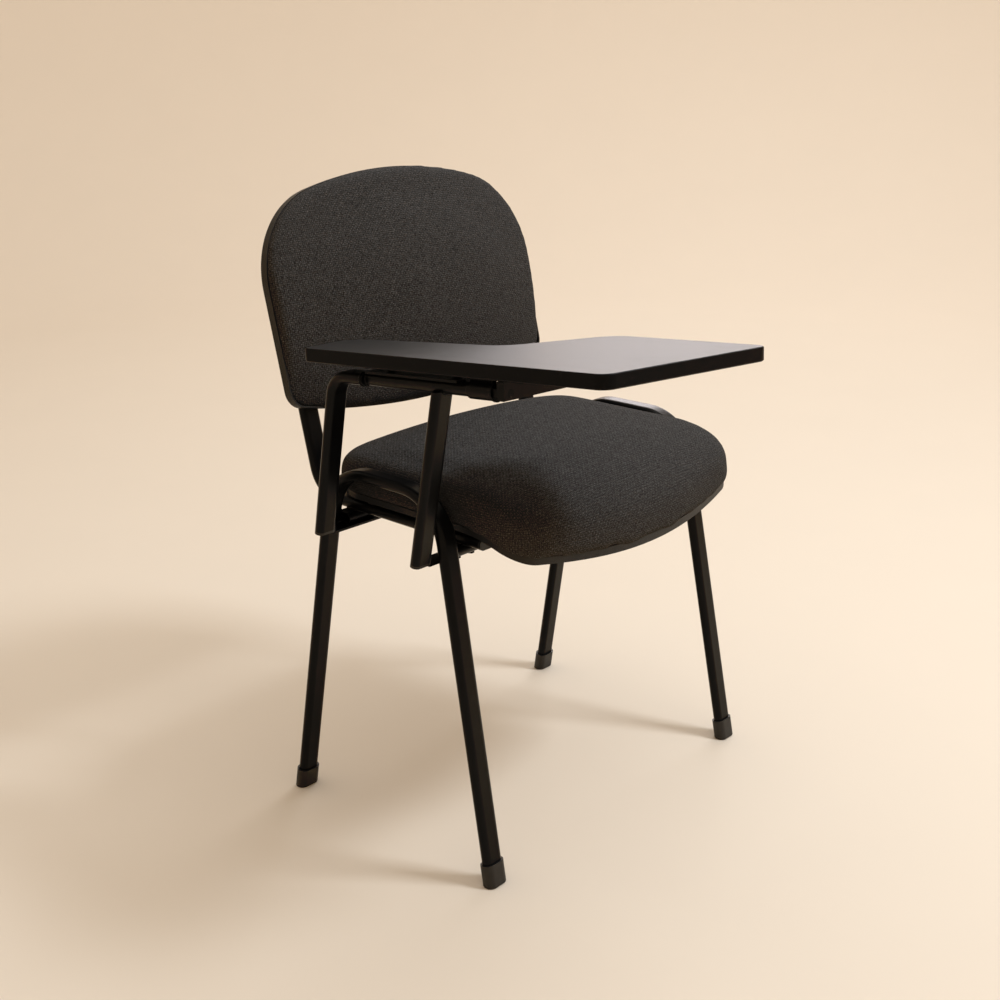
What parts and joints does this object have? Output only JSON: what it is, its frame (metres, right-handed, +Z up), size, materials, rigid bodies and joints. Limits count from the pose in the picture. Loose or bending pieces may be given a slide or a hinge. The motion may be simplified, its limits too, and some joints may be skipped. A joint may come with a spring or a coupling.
{
  "type": "tablet arm chair",
  "caption": "Stacking conference chair with padded seat and back on a bent oval-tube frame, and a writing tablet that hinges up beside the right arm.",
  "frame": {"origin": "on the floor, at the middle of the underside of the bounding box", "axes": "+Z up, the sitter faces -Y, the sitter's left is +X"},
  "size_m": [0.5718, 0.6693, 0.8221],
  "materials": {
    "frame_paint": "satin black powder coat",
    "black_plastic": "satin moulded plastic",
    "shell_plastic": "fine-textured moulded plastic",
    "plywood": "raw moulded plywood",
    "charcoal_fabric": "heathered charcoal weave",
    "dark_steel": "black oxide",
    "bush_plastic": "black nylon",
    "buffer_rubber": "moulded rubber",
    "particle_board": "raw particle board",
    "black_laminate": "matte black laminate",
    "edge_plastic": "smooth black edge strip"
  },
  "bodies": {
    "frame": {"right_side_hoop": "frame_paint", "left_side_hoop": "frame_paint", "right_front_foot_boot": "black_plastic", "left_front_foot_boot": "black_plastic", "right_rear_foot_boot": "black_plastic", "left_rear_foot_boot": "black_plastic", "front_cross_bar": "frame_paint", "rear_cross_bar": "frame_paint", "right_back_upright": "frame_paint", "left_back_upright": "frame_paint", "rail_end_plugs": "black_plastic", "seat_under_shell": "shell_plastic", "seat_board": "plywood", "seat_cushion": "charcoal_fabric", "seat_bolts": "dark_steel", "seat_tee_nuts": "dark_steel", "back_shell": "shell_plastic", "back_board": "plywood", "back_cushion": "charcoal_fabric", "back_bolts": "dark_steel", "back_tee_nuts": "dark_steel", "arm_rear_post": "frame_paint", "arm_front_post": "frame_paint", "post_end_plugs": "black_plastic", "arm_rear_bracket": "frame_paint", "arm_front_bracket": "frame_paint", "bracket_bolts": "dark_steel", "bracket_nuts": "dark_steel", "post_end_plate": "frame_paint", "pivot_tube": "frame_paint", "pivot_bushes": "bush_plastic", "stop_plate": "frame_paint", "rest_buffers": "buffer_rubber"},
    "tablet": {"pivot_shaft": "dark_steel", "shaft_ring": "dark_steel", "pivot_collar": "frame_paint", "pivot_washer": "dark_steel", "pivot_lock_nut": "dark_steel", "tablet_arm": "frame_paint", "tablet_mounting_plate": "frame_paint", "tablet_core": "particle_board", "tablet_laminate": "black_laminate", "tablet_edge_band": "edge_plastic", "tablet_screws": "dark_steel"}
  },
  "joints": [
    {"name": "tablet_fold", "type": "hinge", "parent": "frame", "child": "tablet", "pos_m": [-0.26447, 0.06013, 0.6127], "axis": [0, -0.9963, 0.0854], "range_deg": [0, 95]}
  ]
}
